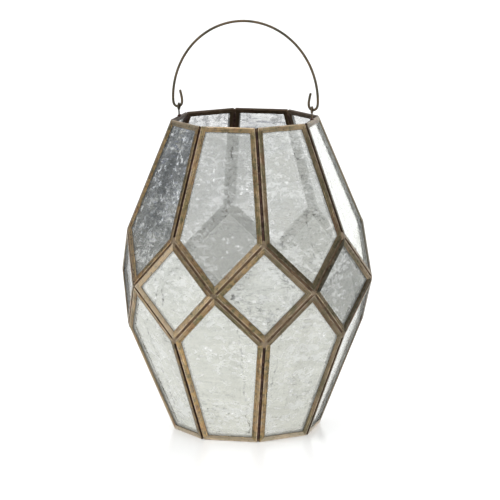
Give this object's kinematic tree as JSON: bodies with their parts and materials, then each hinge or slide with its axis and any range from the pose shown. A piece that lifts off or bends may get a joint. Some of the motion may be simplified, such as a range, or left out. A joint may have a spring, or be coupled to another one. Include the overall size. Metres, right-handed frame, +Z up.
{
  "type": "faceted glass lantern",
  "caption": "Faceted octagonal lantern of antiqued mercury glass panes in brass channel frames, open at the top, with a swinging wire bail handle.",
  "frame": {"origin": "centre of the base, on the surface that the lantern stands on", "axes": "+Z up along the lantern's axis; +X towards one eyelet, along the bail's hinge line; +Y square to it"},
  "size_m": [0.258, 0.258, 0.4112],
  "materials": {
    "channel_brass": "antiqued, satin, darkened in the seams",
    "wire_brass": "dark antiqued, satin",
    "base_brass": "antiqued, dull",
    "mercury_glass": "antiqued silvering, mottled, semi-transparent"
  },
  "bodies": {
    "shell": {"frame_upper_0": "channel_brass", "frame_upper_1": "channel_brass", "frame_upper_2": "channel_brass", "frame_upper_3": "channel_brass", "frame_upper_4": "channel_brass", "frame_upper_5": "channel_brass", "frame_upper_6": "channel_brass", "frame_upper_7": "channel_brass", "frame_diamond_0": "channel_brass", "frame_diamond_1": "channel_brass", "frame_diamond_2": "channel_brass", "frame_diamond_3": "channel_brass", "frame_diamond_4": "channel_brass", "frame_diamond_5": "channel_brass", "frame_diamond_6": "channel_brass", "frame_diamond_7": "channel_brass", "frame_lower_0": "channel_brass", "frame_lower_1": "channel_brass", "frame_lower_2": "channel_brass", "frame_lower_3": "channel_brass", "frame_lower_4": "channel_brass", "frame_lower_5": "channel_brass", "frame_lower_6": "channel_brass", "frame_lower_7": "channel_brass", "pane_upper_0": "mercury_glass", "pane_upper_1": "mercury_glass", "pane_upper_2": "mercury_glass", "pane_upper_3": "mercury_glass", "pane_upper_4": "mercury_glass", "pane_upper_5": "mercury_glass", "pane_upper_6": "mercury_glass", "pane_upper_7": "mercury_glass", "pane_diamond_0": "mercury_glass", "pane_diamond_1": "mercury_glass", "pane_diamond_2": "mercury_glass", "pane_diamond_3": "mercury_glass", "pane_diamond_4": "mercury_glass", "pane_diamond_5": "mercury_glass", "pane_diamond_6": "mercury_glass", "pane_diamond_7": "mercury_glass", "pane_lower_0": "mercury_glass", "pane_lower_1": "mercury_glass", "pane_lower_2": "mercury_glass", "pane_lower_3": "mercury_glass", "pane_lower_4": "mercury_glass", "pane_lower_5": "mercury_glass", "pane_lower_6": "mercury_glass", "pane_lower_7": "mercury_glass", "base_plate": "base_brass", "eyelet_left": "wire_brass", "eyelet_right": "wire_brass"},
    "bail": {"bail_handle": "wire_brass"}
  },
  "joints": [
    {"name": "bail_swing", "type": "hinge", "parent": "shell", "child": "bail", "pos_m": [0, 0, 0.3231], "axis": [1, 0, 0], "range_deg": [-107, 107]}
  ]
}
